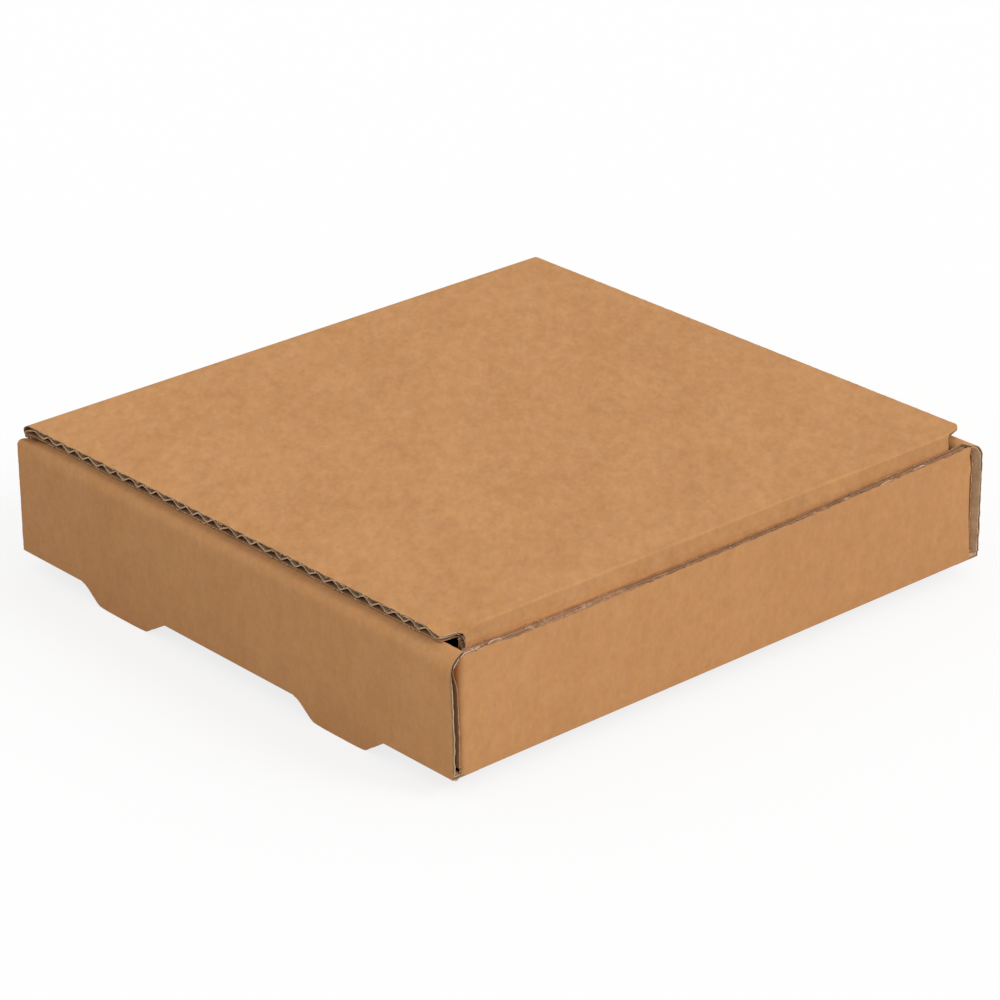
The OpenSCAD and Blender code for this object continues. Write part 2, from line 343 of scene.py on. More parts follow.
class Paint:
    """A material and the one way its nodes are made."""

    def __init__(self, name):
        self.material = bpy.data.materials.new(name)
        self.material.use_nodes = True
        self.tree = self.material.node_tree
        self.tree.nodes.clear()
        self.output = self.tree.nodes.new("ShaderNodeOutputMaterial")

    def node(self, kind, settings=None, *values, out=0, at=None, **named):
        """Adds a node: settings first, then values or links by place, by number in at, or by
        the socket's name. A colour of three numbers gets its fourth."""
        node = self.tree.nodes.new(kind)
        for key, value in (settings or {}).items():
            setattr(node, key, value)
        for key, value in [*enumerate(values), *(at or {}).items(), *named.items()]:
            socket = node.inputs[key.replace("_", " ") if isinstance(key, str) else key]
            if isinstance(value, Value):
                self.tree.links.new(value.socket, socket)
            elif socket.type == "RGBA" and len(value) == 3:
                socket.default_value = (*value, 1)
            else:
                socket.default_value = value
        return Value(self, node.outputs[out])

    def place(self, stretch, turn, shift):
        """Object coordinates on axes turned about z, drawn out by stretch and moved."""
        return self.node("ShaderNodeMapping", {"vector_type": "TEXTURE"},
                         Vector=self.node("ShaderNodeTexCoord", {}, out="Object"),
                         Scale=stretch, Rotation=(0, 0, turn), Location=shift)

    def noise(self, size, detail=2.0, roughness=0.5, stretch=(1, 1, 1), turn=0.0,
              shift=(0, 0, 0)):
        """Noise from 0 to 1 whose features are about size metres across, times stretch."""
        return self.node("ShaderNodeTexNoise", {}, Vector=self.place(stretch, turn, shift),
                         Scale=1 / size, Detail=detail, Roughness=roughness)

    def mix(self, share, a, b, kind="MIX"):
        """Mixes two colours by share."""
        return self.node("ShaderNodeMix", {"data_type": "RGBA", "blend_type": kind,
                                           "clamp_factor": True},
                         out=2, at={0: share, 6: a, 7: b})

    def brighter(self, colour, share):
        """Colour times 1 + share."""
        return self.node("ShaderNodeVectorMath", {"operation": "SCALE"}, colour,
                         Scale=share + 1.0)

    def finish(self, shader):
        """The finished material, with this shader as its surface."""
        self.tree.links.new(shader.socket, self.output.inputs["Surface"])
        return self.material


def srgb(*colour):
    """Linear colour of an sRGB colour from 0 to 255."""
    c = np.array(colour) / 255
    return tuple(np.where(c > 0.04045, ((c + 0.055) / 1.055) ** 2.4, c / 12.92))


def times(colour, *share):
    """Colour with each channel multiplied by its share."""
    return tuple(np.array(colour) * share)


def band(value, low, high):
    """0 below low and 1 above high, straight between them."""
    return ((value - low) * (1 / (high - low))).clamp()


def kraft(name, colour, stretch, turn, contrast):
    """Uncoated kraft liner: clouds and mottle that are also redder or greener, short fibres
    along the grain, a fine grain and a few darker specks, all times 1 + the tone attribute,
    which carries painted highlights and painted shade."""
    paint = Paint(name)
    grain = {"stretch": stretch, "turn": turn}
    clouds = paint.noise(0.024, 2, 0.5, **grain)
    mottle = paint.noise(0.0042, 2, 0.6, **grain)
    fine = paint.noise(0.0015, 2, 0.6, **grain)
    tone = band(clouds * 0.26 + mottle * 0.42 + fine * 0.32, 0.36, 0.64)
    shares = np.array([0.8, 1.0, 1.35]) * contrast
    base = paint.mix(tone, times(colour, *(1 - shares)), times(colour, *(1 + shares)))
    hue = band(paint.noise(0.0052, 2, 0.55, shift=(0.3, 0.1, 0.2), **grain), 0.36, 0.64)
    base = paint.mix(hue, base, paint.mix(1.0, base, (1.012, 0.990, 0.925), "MULTIPLY"))
    fibres = paint.noise(0.0011, 3, 0.65, **grain)
    base = paint.mix(band(fibres, 0.57, 0.76) * 0.30, base, times(colour, 1.20))
    base = paint.mix(band(fibres, 0.43, 0.25) * 0.22, base, times(colour, 0.82, 0.78, 0.72))
    specks = paint.noise(0.0016, 1, 0.4, **grain)
    base = paint.mix(band(specks, 0.73, 0.80) * 0.28, base, times(colour, 0.64, 0.6, 0.54))
    # The tone attribute paints light and shade into the colour: painted highlights and painted
    # shadows on the lid and the side walls.
    base = paint.brighter(base, paint.node("ShaderNodeAttribute",
                                           {"attribute_name": "tone"}, out="Fac"))
    height = fibres * 0.7 + mottle * 0.5
    bump = paint.node("ShaderNodeBump", {}, Strength=0.12, Distance=0.0001, Height=height)
    shader = paint.node("ShaderNodeBsdfPrincipled", {}, Base_Color=base, Roughness=0.88,
                        Specular_IOR_Level=0.2, Normal=bump)
    return paint.finish(shader)


def rough_paper(name, colour, contrast, flecks=0.0, fleck_colour=(0.6, 0.5, 0.4)):
    """Bare paper of the medium and of cut edges: coarse fibres, patches and light flecks."""
    paint = Paint(name)
    fibres = paint.noise(0.0009, 3, 0.7)
    patches = paint.noise(0.0045, 2, 0.5)
    tone = band(fibres * 0.6 + patches * 0.4, 0.32, 0.68)
    base = paint.mix(tone, times(colour, 1 - contrast), times(colour, 1 + contrast))
    if flecks:
        spots = paint.noise(0.0021, 2, 0.6, shift=(0.2, 0.4, 0.1))
        base = paint.mix(band(spots, 0.60, 0.66) * flecks, base, fleck_colour)
    bump = paint.node("ShaderNodeBump", {}, Strength=0.4, Distance=0.00015, Height=fibres)
    shader = paint.node("ShaderNodeBsdfPrincipled", {}, Base_Color=base, Roughness=0.92,
                        Specular_IOR_Level=0.15, Normal=bump)
    return paint.finish(shader)


PALE_FIBRE = srgb(214, 188, 160)
lid_kraft = kraft("kraft_lid", srgb(197, 144, 95), (0.9, 1.9, 1.0), -0.725, 0.13)
tray_kraft = kraft("kraft_tray", srgb(199, 145, 96), (0.9, 0.9, 1.25), 0.0, 0.085)
OTHER_PAPERS = (rough_paper("inside_paper", srgb(156, 120, 86), 0.16),
                rough_paper("cut_liner", srgb(170, 132, 96), 0.34, 0.55, PALE_FIBRE),
                rough_paper("cut_medium", srgb(198, 170, 138), 0.30),
                rough_paper("rubbed_edge", srgb(172, 130, 98), 0.34, 0.5, PALE_FIBRE),
                rough_paper("torn_fibre", srgb(208, 178, 152), 0.16),
                rough_paper("medium_paper", srgb(196, 162, 128), 0.22))
LID_PAPERS = (lid_kraft, *OTHER_PAPERS)
TRAY_PAPERS = (tray_kraft, *OTHER_PAPERS)


# Lid. Its cut sides run from the free edge of the panel round the shoulders into the flap.
LID_LEFT, LID_RIGHT = 3.3, 206.05
LEFT_CUT = ((3.3, 4.5, 5.7, 7.6, 8.0, 8.3), (8.0, 8.9, 9.1, 8.5, 4.2, LID_LEFT))
RIGHT_CUT = ((3.3, 4.6, 5.5, 5.8, 6.0, 6.25, 7.7, 8.6, 9.3),
             (196.3, 197.3, 198.6, 200.0, 201.6, 203.0, 204.6, 205.6, LID_RIGHT))
CREASE_Y = 5.4
FLAP_LEAN = radians(4.8)
FLAP_LENGTH = 29.0
FLAP_CORNER = 8.0
FLAP_TOP = np.array([3.3, 37.5])
FLAP_DOWN = np.array([np.sin(FLAP_LEAN), -np.cos(FLAP_LEAN)])
HINGE = np.array([DEPTH - BOARD, LID_UNDER])
HINGE_AXIS = HINGE + BOARD * np.sqrt(0.5)
HINGE_END = 188.5         # where the lid's stretch of board takes over from the fold's
WALL_END = 33.0           # where the back wall's does


def lid_side(skin, cut, inward):
    """Cut side of the lid: the panel's outline, then the flap's with its round corner."""
    y = np.where(skin[:, 1] < LID_UNDER - 0.05, cut[0][0], skin[:, 0])
    down = np.clip(FLAP_TOP[1] - skin[:, 1], 0, FLAP_LENGTH)
    into = np.clip(down - (FLAP_LENGTH - FLAP_CORNER), 0, FLAP_CORNER)
    inset = 0.06 * down + FLAP_CORNER - np.sqrt(np.maximum(FLAP_CORNER ** 2 - into ** 2, 0))
    return np.interp(y, *cut) + inward * inset


def lid_left(skin, seed=3, depth=0.17):
    """Left cut of the lid's outer liner, torn by about depth."""
    return lid_side(skin, LEFT_CUT, 1) + torn(skin[:, 0] + skin[:, 1], seed, depth)


def lid_right(skin, seed=5, depth=0.13):
    """Right cut of the lid's outer liner."""
    return lid_side(skin, RIGHT_CUT, -1) + torn(skin[:, 0] + skin[:, 1], seed, depth)


def lid_wave(y):
    """The lid's medium along the depth, from -1 at the outer liner to 1: uneven flutes."""
    bent = 0.5 * wobble(y, 17, 8) + 0.22 * wobble(y, 18, 2.6)
    return fluted(193.3 - y + bent, 2.2) * (0.90 + 0.10 * wobble(y, 19, 4))


def lid_shape(points):
    """The closed lid as it has been handled: crushed down at its front left corner and up
    under its front right one, swollen along the crease, bowed up by a quarter of a millimetre,
    and its top liner sunk between the flutes along the left raw edge."""
    x, y, z = points[..., 0], points[..., 1], points[..., 2]
    hollow = 0.5 + 0.5 * lid_wave(y)
    sink = 0.24 * hollow * np.exp(-np.clip(x - LID_LEFT, 0, 9) / 0.7) * ease(y, 9, 12) \
        * ease(z, LID_TOP - 1.2, LID_TOP - 0.35)
    low = LID_UNDER + LINER
    sunk = 0.5 + 0.3 * ease(x, 4, 8)
    left = 1 - sunk * (1 - ease(x, 5, 15)) * (1 - ease(y, 8, 14.5))
    z = np.where(z > low, low + (z - low) * left, z)
    right = 1 - 0.86 * ease(x, 196, 200) * (1 - ease(y, 7.2, 10.5))
    z = np.where(z > LID_UNDER - 0.05, LID_TOP - (LID_TOP - z) * right, z)
    bow = np.sin(np.pi * np.clip((x - LID_LEFT) / (LID_RIGHT - LID_LEFT), 0, 1)) \
        * np.sin(np.pi * np.clip(y / HINGE_END, 0, 1)) * ease(y, 10, 60)
    points[..., 2] = z + 0.25 * bow + 0.13 * hump(y, 6.3, 0.9) * (left > 0.98) - sink
    return points


def lid_painted_light_and_tone(points):
    """Painted light and tone of the lid: a painted highlight along the crease, painted shade on
    the facet below it that turns to painted light lower down the flap behind the front wall's
    top, and lighter along the raw left edge."""
    x, y, z = points[..., 0], points[..., 1], points[..., 2]
    # facet marks where the painted shade below the crease falls, and where lower down it turns to
    # painted light.
    facet = (1 - ease(y, 5.1, 5.45)) * ease(z, 34.5, 35.5)
    return 0.035 * hump(y, 6.1, 0.8) - facet * (0.16 - 0.38 * (1 - ease(z, 35.8, 38.8))) \
        + 0.10 * np.exp(-np.clip(x - LID_LEFT, 0, 9) / 0.4) * ease(y, 8, 9)


LID_CORNERS = [(HINGE_END, LID_TOP), (CREASE_Y, LID_TOP), FLAP_TOP + (0, 0.35),
               FLAP_TOP + FLAP_LENGTH * FLAP_DOWN]
lid_outer = Board("yz", LID_CORNERS, [0.35, 2.2], 0.38, lid_left, lid_right, warp=lid_shape,
                  tone=lid_painted_light_and_tone, gather=0.6)
inner_down = FLAP_TOP + BOARD * np.array([np.cos(FLAP_LEAN), np.sin(FLAP_LEAN)])
inner_corner = inner_down + (LID_UNDER - inner_down[1]) / FLAP_DOWN[1] * FLAP_DOWN
lid_inner = Board("yz", [(HINGE_END, LID_UNDER), inner_corner,
                         inner_down + FLAP_LENGTH * FLAP_DOWN],
                  [0.5], 0.5, lambda skin: lid_left(skin, 7, 0.12),
                  lambda skin: lid_right(skin, 9), warp=lid_shape, gather=0.6)
lid_flutes = Board("yz", [(HINGE_END, LID_TOP), (7.4, LID_TOP)], [], FLUTE / 18,
                   lambda skin: lid_left(skin, 11, 0.22) + 0.10,
                   lambda skin: lid_right(skin, 13, 0.15) - 0.12, warp=lid_shape, middle=3)
flap_flutes = Board("yz", [FLAP_TOP + 1.0 * FLAP_DOWN, FLAP_TOP + FLAP_LENGTH * FLAP_DOWN], [],
                    FLUTE / 18, lambda skin: lid_left(skin, 11, 0.1) + 0.12,
                    lambda skin: lid_right(skin, 13, 0.1) - 0.12, middle=3)

piece("lid_outer_liner", [lid_outer.outer_liner()], "lid", LID_PAPERS)
piece("lid_inner_liner", [slab(lid_inner.at(-LINER), lid_inner.at(0), (INSIDE, KRAFT, CUT_LINER))],
      "lid", LID_PAPERS)
piece("lid_medium", [lid_flutes.medium(lid_wave(lid_flutes.skin[:, :1]), thick=0.46),
                     flap_flutes.medium(fluted(flap_flutes.along(), 1.0))],
      "lid", LID_PAPERS)


# The fold at the back, between the tray and the lid.
def fold_left(skin):
    """Left cut of the fold, from the wall's width to the lid's."""
    return np.interp(skin[:, 1], [WALL_END, 35.3, 36.1], [4.9, 4.6, 3.2]) \
        + torn(skin[:, 1] - skin[:, 0], 15, 0.12)


def fold_right(skin):
    """Right cut of the fold."""
    return LID_RIGHT + LID_LEFT - np.interp(skin[:, 1], [WALL_END, 35.3, 36.1],
                                            [4.9, 4.6, 3.3]) \
        + torn(skin[:, 1] - skin[:, 0], 25, 0.12)


def fold_bulge(points):
    """The fold swells by a millimetre towards the back."""
    points[..., 1] += 1.1 * hump(points[..., 2], 38.6, 1.7) * ease(points[..., 1], 188.5, 194)
    return points


back_fold = Board("yz", [(DEPTH, WALL_END), (DEPTH, LID_TOP), (HINGE_END, LID_TOP)], [BOARD],
                  0.3, fold_left, fold_right, turns=16, warp=fold_bulge)
CRUSH = 1 - 0.75 * hump(back_fold.along(), 8.0, 3.5)      # of the flutes, where the board bends
MIDDLE_FOLD = np.array([WIDTH / 2, *HINGE_AXIS])
TOWARDS_LID = np.array([0, -1.7, 1.7])
piece("back_fold",
      [back_fold.outer_liner(), back_fold.inner_liner(),
       back_fold.medium(fluted(back_fold.along(), 0.4) * CRUSH)],
      ("tray", "lid"), LID_PAPERS,
      blend=[tuple((MIDDLE_FOLD + way * TOWARDS_LID + CORNER) * MM) for way in (-1, 1)])


# Side walls: inner board, roll and outer board as one path, from the inside out.
# Each foot's two roots and the two corners of its tip, along y, and how far down it reaches.
FOOT_Y = ((28.9, 67.7, 35.2, 60.3), (126.7, 166.4, 133.8, 159.2))
FOOT_DROP = 5.4
HALF_TIP = 12.6           # half the length of a foot's tip
# Share of the way from root to tip at each share of the drop, on either flank.
NEAR_FLANK = ((0, 0.59, 0.8, 0.9, 1), (0, 0.65, 0.93, 1.06, 1.25))
FAR_FLANK = ((0, 0.08, 0.26, 0.68, 0.85, 0.93, 1), (0, 0.22, 0.42, 0.77, 0.95, 1.03, 1.2))
TAB_CLEAR = 0.5           # room at either side of a lock tab in its slot
ROLL_STEP = (4.6, 6.2)    # from the outer board's ends to the inner board's, behind the ears
INNER_FOLD = 2.7          # outer radius of the roll's inner half
STRIP_END = 9.5           # how far a side wall's bottom strip reaches under the base


def left_front(skin):
    """Front edge of the left wall: bowed back a little up its height."""
    x, z = skin[:, 0], skin[:, 1]
    return 0.12 + 0.55 * ease(z, 12, 30) + 2.5 * ease(x, *ROLL_STEP) \
        + torn(z * 1.3 + x, 21, 0.14)


def right_front(skin):
    """Front edge of the right wall: straight."""
    x, z = skin[:, 0], skin[:, 1]
    return -0.10 + 3.1 * ease(x, *ROLL_STEP) + torn(z * 1.3 + x, 27, 0.14)


def side_back(skin):
    """Back edge of both side walls."""
    x, z = skin[:, 0], skin[:, 1]
    return DEPTH - 0.10 - 3.1 * ease(x, *ROLL_STEP) + torn(z * 1.3 + x, 23, 0.12)


def left_roll(y):
    """Outer radius of the left roll: widest at the front corner."""
    return 4.4 + 1.8 * hump(y, 0, 9) - 2.7 * hump(y, DEPTH, 8) + 0.3 * wobble(y, 31, 30)


def right_roll(y):
    """Outer radius of the right roll: smaller at the back."""
    return 4.8 - 1.4 * hump(y, DEPTH, 10) + 0.25 * wobble(y, 37, 30)


def pressed_left(points):
    """Raw ends of the left wall: pressed together at the roll."""
    y, z = points[..., 1], points[..., 2]
    end = np.maximum(1 - ease(y, 1, 5), ease(y, DEPTH - 5, DEPTH - 1))
    return 1 - 0.6 * end * ease(z, 25, 33)


def pressed_right(points):
    """The right wall's raw ends stand open, but for the back of the roll."""
    y, z = points[..., 1], points[..., 2]
    return 1 - 0.5 * ease(y, DEPTH - 5, DEPTH - 1) * ease(z, 25, 33)


def left_shape(points):
    """The left roll's back end is pressed down under the lid's fold, and its front end is
    crushed on the side of the flap."""
    x, y, z = points[..., 0], points[..., 1], points[..., 2]
    down = 1.3 * ease(y, DEPTH - 13, DEPTH - 2) * ease(z, 26, 35)
    crushed = 1.1 * np.clip(x - 4.7, 0, 9) * (1 - ease(y, 10, 15)) * ease(z, 24, 34)
    points[..., 2] = z - down - crushed
    return points


def right_shape(points):
    """The right roll's back end is pressed down under the lid's fold."""
    y, z = points[..., 1], points[..., 2]
    points[..., 2] -= 1.0 * ease(y, DEPTH - 13, DEPTH - 2) * ease(z, 26, 35)
    return points


def side_painted_light_and_tone(points):
    """Painted light and tone of a side wall: paler towards the front, a painted highlight on the
    shoulder of the roll, and a painted shadow where the lid's edge shades the roll."""
    x, y, z = points[..., 0], points[..., 1], points[..., 2]
    outer = 1 - ease(x, 5, 6)
    # The hump in z is a painted highlight on the roll's shoulder; the last term is a painted
    # shadow under the lid's edge.
    return outer * (0.055 - 0.11 * y / DEPTH + 0.07 * hump(z, 34.2, 1.6)
                    - 0.20 * ease(x, 0.8, 2.3) * ease(z, 34.8, 36) * ease(y, 5, 12))


def foot_shape(points):
    """The feet are worn: up to half a millimetre shorter towards their corners."""
    y, z = points[..., 1], points[..., 2]
    away = np.min([np.abs(y - (low + high) / 2) for _, _, low, high in FOOT_Y], axis=0)
    worn = np.clip(away / HALF_TIP, 0, 1.1) ** 4
    points[..., 2] = np.where(z < 0, z * (1 - 0.09 * worn), z)
    return points


def wall_corners(low):
    """Corners of a rolled wall's section, from the inner board's foot to the outer's at low."""
    return [(STACK, 3.05), (STACK, WALL_TOP), (0, WALL_TOP), (0, low)]


def same(y):
    """Edge of a board that is straight across its path."""
    return lambda skin: y + 0 * skin[:, 0]


def bottom_strip(low, high, phase, mirror):
    """Bottom of a side wall between two feet, folded under the base, with the end of the
    medium and what closes it at the front corner."""
    corners = [(0, FOLD_TOP), (0, 0), (STRIP_END, 0)]
    low_cut = low - 0.75 * (low < 1)
    high_cut = high + 0.75 * (high > DEPTH - 1)
    strip = Board("xz", corners, [BASE_FOLD], 0.8, same(low_cut), same(high_cut),
                  fine=[0, 0.5], middle=12, mirror=mirror, tone=side_painted_light_and_tone)
    slabs = [strip.outer_liner(), strip.inner_liner()]
    if low < 1:
        end = Board("xz", corners, [BASE_FOLD], 0.4, None, None,
                    across=np.linspace(low - 0.6, 6.5, 20)[None], mirror=mirror)
        slabs.append(end.medium(np.clip(fluted(end.across, phase), -0.98, 1)))
        plug = Board("xz", [(0, 3.0), (0, 0.5)], [], 0.2, None, None, mirror=mirror,
                     across=np.linspace(2.2, 2.8, 4)[None])
        slabs.append(slab(plug.at(0.4), plug.at(BOARD - 0.4), (INSIDE, INSIDE, INSIDE)))
    return slabs


def foot_edge(wide, tip, flank):
    """Cut edge of a foot, from its root at wide to its corner at tip."""
    return lambda skin: wide + (tip - wide) * np.interp(-skin[:, 1] / FOOT_DROP, *flank)


def foot_and_tab(low, high, tip_low, tip_high, mirror):
    """A foot in the plane of the outer board, and the lock tab behind it."""
    drop = [(0, FOLD_TOP), (0, -FOOT_DROP)]
    foot = Board("xz", drop, [], 0.3, foot_edge(low, tip_low, NEAR_FLANK),
                 foot_edge(high, tip_high, FAR_FLANK), fine=[0, 0.3, 1], middle=20,
                 mirror=mirror, tone=side_painted_light_and_tone, warp=foot_shape)
    t = np.linspace(0, 1, int((high - low) / FLUTE * 10))
    first, second = foot.across[:, :1] + 0.1, foot.across[:, -1:] - 0.1
    flutes = Board("xz", drop, [], 0.3, None, None, across=first + (second - first) * t,
                   mirror=mirror, warp=foot_shape)
    tab = Board("xz", [(STACK, 0.1), (STACK, 3.1)], [], 1.0, same(tip_low + TAB_CLEAR),
                same(tip_high - TAB_CLEAR), fine=[0, 0.5], middle=10, mirror=mirror)
    return [foot.outer_liner(), foot.inner_liner(), flutes.medium(fluted(flutes.across)),
            tab.outer_liner(), tab.inner_liner()]


def side_wall(name, roll, front, recess, phase, sway, squeeze, warp, mirror):
    """Rolled side wall with its feet and lock tabs.

    recess is how far the inner liner stands back from the outer liner's front edge, phase
    sets where the edge cuts the flutes, and sway how unevenly they run."""
    shape = dict(turns=12, squeeze=squeeze, mirror=mirror, warp=warp)
    corners, radii = wall_corners(FOLD_TOP), [INNER_FOLD, roll]
    outer = Board("xz", corners, radii, 1.2, front, side_back, middle=40, tone=side_painted_light_and_tone,
                  **shape)
    inner = Board("xz", corners, radii, 1.2,
                  lambda skin: front(skin) + recess * (1 - ease(skin[:, 0], *ROLL_STEP)),
                  side_back, middle=40, **shape)
    start = outer.across[:, :1] + 0.15 + torn(inner.skin[:, 1:2], 43, 0.15)
    stop = inner.across[:, -1:] - 0.15
    across = start + (stop - start) * np.linspace(0, 1, int(DEPTH / FLUTE * 8))
    flutes = Board("xz", corners, radii, 1.2, None, None, across=across, **shape)
    wave = fluted(across - start, phase) + sway * wobble(flutes.skin[:, 1:2], 41, 3.2)
    slabs = [outer.outer_liner(INSIDE), inner.inner_liner(),
             flutes.medium(np.clip(wave, -0.98, 1))]
    bounds = [0.9, *[y for foot in FOOT_Y for y in foot[:2]], DEPTH - 0.9]
    for low, high in zip(bounds[::2], bounds[1::2]):
        slabs += bottom_strip(low, high, phase, mirror)
    for foot in FOOT_Y:
        slabs += foot_and_tab(*foot, mirror)
    piece(name, slabs, "tray", TRAY_PAPERS)


side_wall("side_wall_left", left_roll, left_front, 0.05, 3.78, 0.16, pressed_left,
          left_shape, False)
side_wall("side_wall_right", right_roll, right_front, 1.5, -1.45, 0.34, pressed_right,
          right_shape, True)


# Front and back walls with their ears, as one path seen from above.
EAR_X = BOARD + 0.15      # outer face of an ear
EAR_FOLD = 1.7            # outer radius of an ear's fold
EAR_LENGTH = 62.0
EAR_TOP = 33.6
# Height of the front wall's two liners at each place along it.
FRONT_X = (0, 16, 23, 75, 86, 105, 137, 150, 158, 170, 183, 196, 201, 206)
FRONT_OUTER = (36.3, 36.2, 35.4, 35.3, 35.6, 35.6, 35.75, 36.1, 36.3, 36.5, 36.8, 36.75, 37.05,
               36.9)
FRONT_INNER = (36.2, 36.1, 35.6, 35.5, 35.2, 35.3, 35.6, 35.9, 36.3, 36.5, 36.7, 36.8, 37.2,
               37.2)


def wall_top(heights, seed, depth):
    """Top of the front wall: worn to these heights along it, and down to the ears' tops."""
    def top(skin):
        x, y = skin[:, 0], skin[:, 1]
        height = np.interp(x, FRONT_X, heights) + torn(x, seed, depth)
        return height + (EAR_TOP - height) * ease(y, 0.3, 2.4)
    return top


def back_top(skin):
    """Top of the back wall: the fold's stretch of board takes over below the lid."""
    x, y = skin[:, 0], skin[:, 1]
    to_end = np.minimum(x, WIDTH - x)
    height = WALL_END + (36.6 - WALL_END) * (1 - ease(to_end, 4.7, 4.9))
    return height + (EAR_TOP - height) * ease(y, 1.2, 2.4)


def wall_bottom(skin):
    """Bottom of an end wall: over the base's fold, and lower at the folds of its ears."""
    x, y = skin[:, 0], skin[:, 1]
    to_end = np.minimum(x, WIDTH - x)
    return np.where(y > 1.4, 0.9, np.where(to_end < EAR_X + 1.7, 0.45, FOLD_TOP))


def front_shape(points):
    """The front wall's folds bulge in and out by half a millimetre up their height, and the
    right one stands a millimetre short of its place."""
    x, z = points[..., 0], points[..., 2]
    right = 0.45 * hump(z, 30.5, 2.2) - 0.45 * hump(z, 33.6, 1.6) - 1.1 \
        + 0.12 * wobble(z, 67, 5) + 1.2 * hump(z, 0, 12)
    points[..., 0] += ease(x, 186, 202) * right
    points[..., 0] += (1 - ease(x, 4, 16)) * (0.35 * hump(z, 36, 6) + 0.15 * wobble(z, 61, 9))
    return points


def turned(points):
    """The front wall's points, turned to be the back wall's."""
    points[..., 1] = DEPTH - points[..., 1]
    return points


def end_wall(name, outer_top, inner_top, shape, cut, spacing, more):
    """Front or back wall with its two ears: both liners, the medium and more slabs."""
    corners = [(EAR_X, EAR_LENGTH), (EAR_X, 0), (WIDTH - EAR_X, 0), (WIDTH - EAR_X, EAR_LENGTH)]
    radii = [EAR_FOLD, EAR_FOLD]
    edges = dict(turns=8, middle=8, warp=shape, fine=FINE[:8])
    outer = Board("xy", corners, radii, spacing, wall_bottom, outer_top, **edges)
    inner = Board("xy", corners, radii, spacing, wall_bottom, inner_top, **edges)
    flat = [(EAR_X + 2.4, 0), (WIDTH - EAR_X - 2.4, 0)]
    skin_top = Board("xy", flat, [], 1.0, wall_bottom, inner_top)
    top = skin_top.across[:, -1:] - 0.15 + torn(skin_top.skin[:, :1], 57, 0.2)
    across = FOLD_TOP + (top - FOLD_TOP) * np.linspace(0, 1, 48)
    flutes = Board("xy", flat, [], 1.0, None, None, across=across, warp=shape)
    wave = fluted(across[:, -1:] - across, 0.3) * 0.9 + 0.25 * wobble(flutes.skin[:, :1], 59, 5)
    piece(name, [outer.outer_liner(cut), inner.inner_liner(cut),
                 flutes.medium(np.clip(wave, -1, 1), cut), *more],
          "tray", TRAY_PAPERS)


def crushed_top():
    """The cut of the front wall, crushed so that it closes over the flutes."""
    x = np.arange(5.0, WIDTH - 5.0, 0.35)[:, None]
    share = np.linspace(0, 1, 9)
    outer, inner = np.interp(x, FRONT_X, FRONT_OUTER), np.interp(x, FRONT_X, FRONT_INNER)
    uneven = np.concatenate([wobble(x, 300 + k, 0.9 + 0.1 * k) for k in range(9)], 1)
    sunk = 0.25 + 0.35 * ease(x, 62, 72)
    z = outer + (inner - outer) * share - sunk + 0.26 * uneven * np.sin(np.pi * share) ** 0.5
    top = np.stack([x + 0 * z, 0.2 + (BOARD - 0.4) * share + 0 * z, z], -1)
    top = front_shape(top)
    return slab(top, top - (0, 0, 0.3), (RUBBED, INSIDE, RUBBED))


end_wall("front_wall", wall_top(FRONT_OUTER, 51, 0.24), wall_top(FRONT_INNER, 53, 0.2),
         front_shape, RUBBED, 0.5, [crushed_top()])
end_wall("back_wall", back_top, back_top, turned, CUT_LINER, 1.0, [])


# Base, with its folds up into the front and back walls.
def base_left(skin):
    """Left edge of the base: between the side walls' strips, but under the ears' folds."""
    to_end = np.minimum(skin[:, 0], DEPTH - skin[:, 0])
    return np.where(to_end < 0.05, EAR_X + 1.4, np.where(to_end < 0.75, EAR_X, STRIP_END))


BEHIND = 0.04             # how far the base's folds lie behind the faces of the walls
base = Board("yz", [(BEHIND, FOLD_TOP + 0.3), (BEHIND, 0), (DEPTH - BEHIND, 0),
                    (DEPTH - BEHIND, FOLD_TOP + 0.3)],
             [BASE_FOLD, BASE_FOLD], 2.0, base_left, lambda skin: WIDTH - base_left(skin),
             fine=[0, 0.5, 2])
piece("base", [base.outer_liner(), base.inner_liner()], "tray", TRAY_PAPERS)


# Torn fibres along the raw edges.
def edge_flecks(count, seed):
    """Short torn fibres at random along the lid's left raw edge."""
    random = np.random.default_rng(seed)
    y = random.uniform(12, 190, count)
    z = random.choice([LID_TOP - 0.15, LID_TOP - 0.4, LID_UNDER + 0.3], count) \
        + random.uniform(-0.15, 0.15, count)
    run, rise = random.uniform(0.5, 1.5, count), random.uniform(-0.35, 0.35, count)
    wide = random.uniform(0.12, 0.28, count)
    x = LID_LEFT - random.uniform(0.02, 0.16, count)
    paper = random.choice([CUT_MEDIUM, MEDIUM_PAPER, FIBRE], count)
    return [shred([(x[i], y[i], z[i]), (x[i] - 0.1, y[i] + run[i] / 2, z[i] + rise[i] / 2),
                   (x[i], y[i] + run[i], z[i] + rise[i])], (0, 0, wide[i]), 0.08, 400 + i,
                  paper[i]) for i in range(count)]


